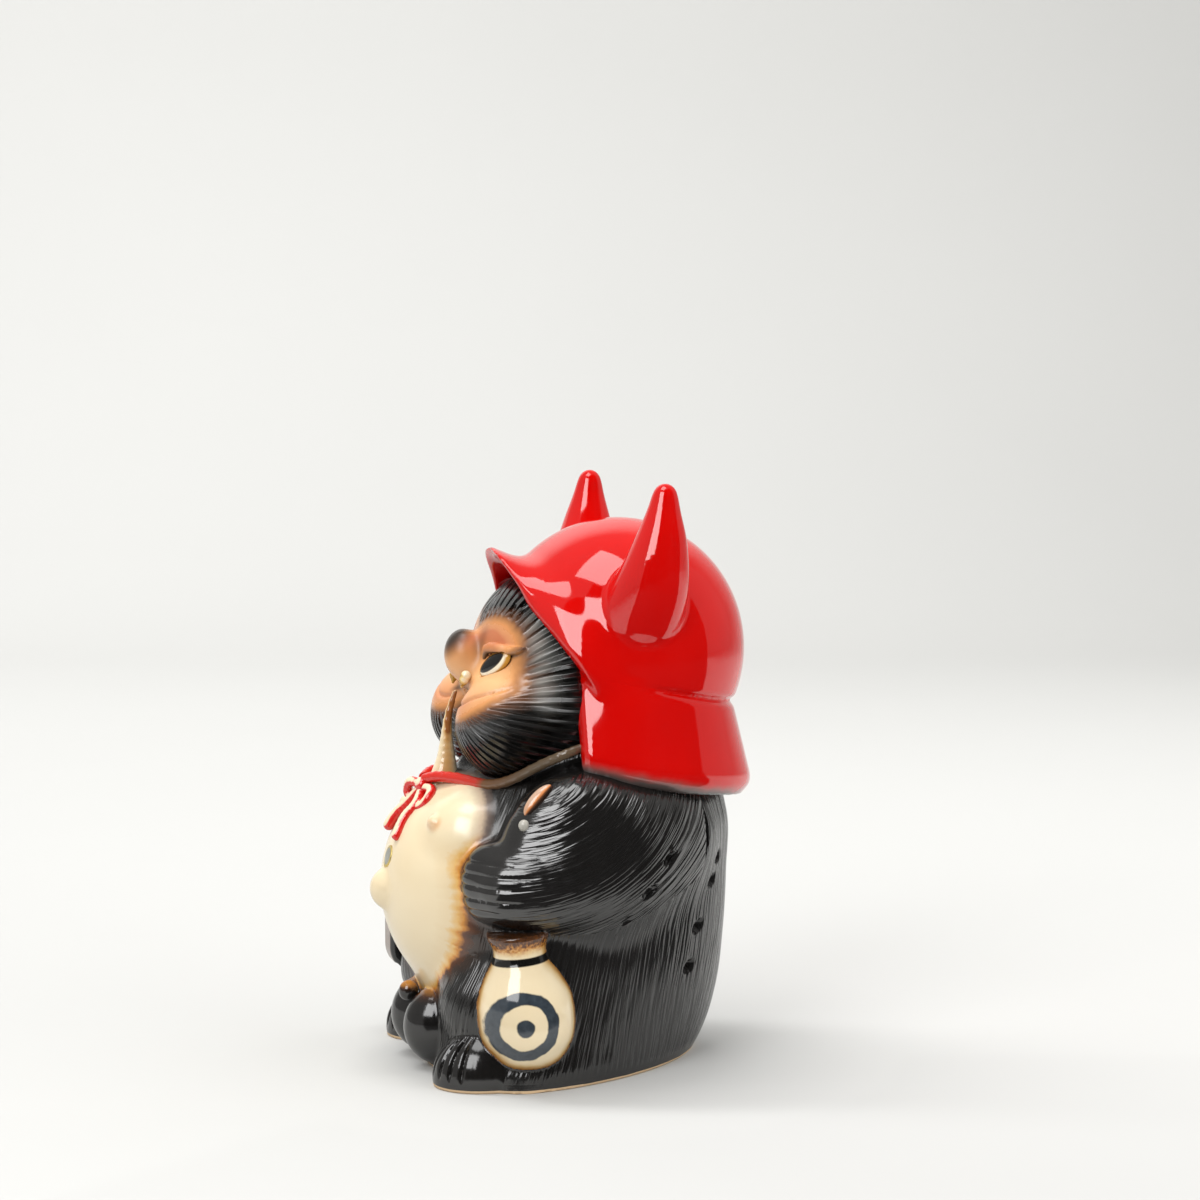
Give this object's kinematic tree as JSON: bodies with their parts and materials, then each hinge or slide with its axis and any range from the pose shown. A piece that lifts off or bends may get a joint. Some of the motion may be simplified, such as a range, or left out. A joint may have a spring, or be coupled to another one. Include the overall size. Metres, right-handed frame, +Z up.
{
  "type": "tanuki statue",
  "caption": "Seated ceramic raccoon-dog figure with a horned red helmet, cream belly, sake flask and money bag.",
  "frame": {"origin": "bottom centre of the object's bounding box, on the surface that it stands on", "axes": "+Z up, the face looks along -Y, +X to the figure's left, where the flask hangs"},
  "size_m": [0.1592, 0.1691, 0.252],
  "materials": {
    "red_glaze": "gloss",
    "black_glaze": "gloss",
    "cream_glaze": "gloss",
    "brown_glaze": "gloss",
    "eye_glaze": "gloss",
    "bow_glaze": "gloss",
    "foil": "satin"
  },
  "bodies": {
    "root": {"helmet_bowl": "red_glaze", "visor": "red_glaze", "neck_guard": "red_glaze", "left_horn": "red_glaze", "right_horn": "red_glaze", "body_front_half": "cream_glaze", "body_back_half": "black_glaze", "head": "black_glaze", "left_arm": "black_glaze", "right_arm": "black_glaze", "left_foot": "black_glaze", "right_foot": "black_glaze", "money_bag": "black_glaze", "left_thumb": "brown_glaze", "right_thumb": "brown_glaze", "left_eye": "eye_glaze", "right_eye": "eye_glaze", "left_fang": "cream_glaze", "right_fang": "cream_glaze", "beard": "cream_glaze", "sake_flask": "cream_glaze", "flask_cord": "black_glaze", "account_ledger": "cream_glaze", "chin_cord_left": "brown_glaze", "chin_cord_right": "brown_glaze", "bow_knot": "bow_glaze", "left_bow_loop": "bow_glaze", "right_bow_loop": "bow_glaze", "left_bow_tail": "bow_glaze", "right_bow_tail": "bow_glaze", "foil_seal": "foil"}
  },
  "joints": []
}
